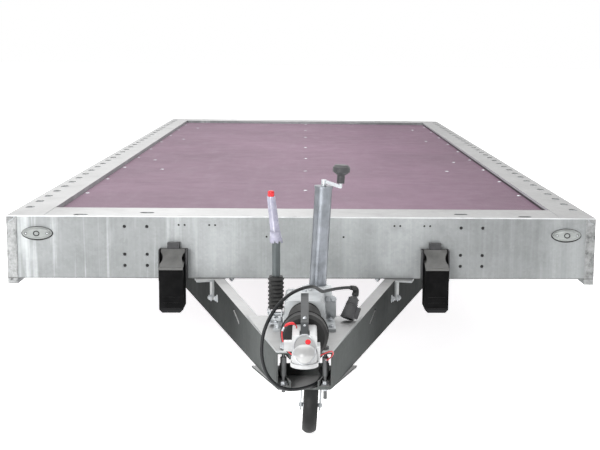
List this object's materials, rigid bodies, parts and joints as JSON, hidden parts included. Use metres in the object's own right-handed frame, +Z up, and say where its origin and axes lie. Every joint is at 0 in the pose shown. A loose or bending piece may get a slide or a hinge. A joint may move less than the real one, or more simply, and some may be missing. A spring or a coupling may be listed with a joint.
{
  "type": "triple axle flat platform trailer",
  "caption": "Flat platform trailer with a plywood deck in a steel frame, wheels under the deck, V drawbar, overrun coupling, handbrake and jockey wheel.",
  "frame": {"origin": "on the floor, at the middle of the trailer's overall width and length", "axes": "-Y towards the coupling, +Y towards the rear, +X to the right seen from the coupling, +Z up"},
  "size_m": [2.4, 7.476, 0.967],
  "materials": {
    "galvanised": "hot-dip galvanised",
    "bright_zinc": "bright zinc plated",
    "grey_paint": "satin grey",
    "grey_casting": "galvanised casting",
    "silver_paint": "satin silver",
    "black_rubber": "matt",
    "black_plastic": "matt",
    "pale_film": "wrapped in clear film",
    "red_plastic": "gloss",
    "phenolic_ply": "phenolic film, mesh pressed",
    "clear_lens": "clear lens",
    "red_lens": "red lens",
    "cable_jacket": "satin",
    "red_jacket": "plastic coated",
    "tyre": "matt",
    "wheel_steel": "silver"
  },
  "bodies": {
    "chassis": {"axle_front": "galvanised", "axle_middle": "galvanised", "axle_rear": "galvanised", "bottom_plate": "galvanised", "breakaway_cable": "red_jacket", "cable_gland": "black_rubber", "chassis_rails": "galvanised", "chock_holders": "black_plastic", "coupling_gaiter": "black_rubber", "coupling_handle": "grey_paint", "coupling_head": "silver_paint", "crossmembers": "galvanised", "deck": "phenolic_ply", "draw_shaft": "bright_zinc", "drawbar_left": "galvanised", "drawbar_right": "galvanised", "electric_cable": "cable_jacket", "frame_brackets": "galvanised", "front_beam": "galvanised", "front_lamps": "clear_lens", "handbrake_bracket": "bright_zinc", "handbrake_button": "red_plastic", "handbrake_gaiter": "black_rubber", "handbrake_grip": "pale_film", "handbrake_lever": "grey_paint", "jack_clamp": "galvanised", "jack_crank": "bright_zinc", "jack_knob": "black_plastic", "jack_tube": "bright_zinc", "nose_bolts": "bright_zinc", "overrun_housing": "grey_casting", "plug": "black_plastic", "rear_beam": "galvanised", "rear_lamps": "red_lens", "side_beam_left": "galvanised", "side_beam_right": "galvanised", "top_plate": "galvanised", "wheel_chocks": "black_plastic"},
    "wheel_front_left": {"tyre_front_left": "tyre", "rim_front_left": "wheel_steel"},
    "wheel_front_right": {"tyre_front_right": "tyre", "rim_front_right": "wheel_steel"},
    "wheel_middle_left": {"tyre_middle_left": "tyre", "rim_middle_left": "wheel_steel"},
    "wheel_middle_right": {"tyre_middle_right": "tyre", "rim_middle_right": "wheel_steel"},
    "wheel_rear_left": {"tyre_rear_left": "tyre", "rim_rear_left": "wheel_steel"},
    "wheel_rear_right": {"tyre_rear_right": "tyre", "rim_rear_right": "wheel_steel"},
    "leg": {"jack_leg": "bright_zinc"},
    "fork": {"jockey_fork": "bright_zinc"},
    "jockey": {"jockey_wheel": "black_rubber", "jockey_rim": "bright_zinc"}
  },
  "joints": [
    {"name": "spin_front_left", "type": "hinge", "parent": "chassis", "child": "wheel_front_left", "pos_m": [-0.9525, 0.31, 0.2625], "axis": [1, 0, 0], "continuous": true},
    {"name": "spin_front_right", "type": "hinge", "parent": "chassis", "child": "wheel_front_right", "pos_m": [0.9525, 0.31, 0.2625], "axis": [1, 0, 0], "continuous": true},
    {"name": "spin_middle_left", "type": "hinge", "parent": "chassis", "child": "wheel_middle_left", "pos_m": [-0.9525, 1.01, 0.2625], "axis": [1, 0, 0], "continuous": true},
    {"name": "spin_middle_right", "type": "hinge", "parent": "chassis", "child": "wheel_middle_right", "pos_m": [0.9525, 1.01, 0.2625], "axis": [1, 0, 0], "continuous": true},
    {"name": "spin_rear_left", "type": "hinge", "parent": "chassis", "child": "wheel_rear_left", "pos_m": [-0.9525, 1.71, 0.2625], "axis": [1, 0, 0], "continuous": true},
    {"name": "spin_rear_right", "type": "hinge", "parent": "chassis", "child": "wheel_rear_right", "pos_m": [0.9525, 1.71, 0.2625], "axis": [1, 0, 0], "continuous": true},
    {"name": "jack_slide", "type": "slide", "parent": "chassis", "child": "leg", "axis": [0.0523, 0, 0.9986], "range_m": [-0.08, 0.165]},
    {"name": "jockey_swivel", "type": "hinge", "parent": "leg", "child": "fork", "pos_m": [0.02786, -2.98, 0.218], "axis": [0.0523, 0, 0.9986], "continuous": true},
    {"name": "jockey_spin", "type": "hinge", "parent": "fork", "child": "jockey", "pos_m": [0.02167, -2.96, 0.09992], "axis": [0.9986, 0, -0.0523], "continuous": true}
  ]
}
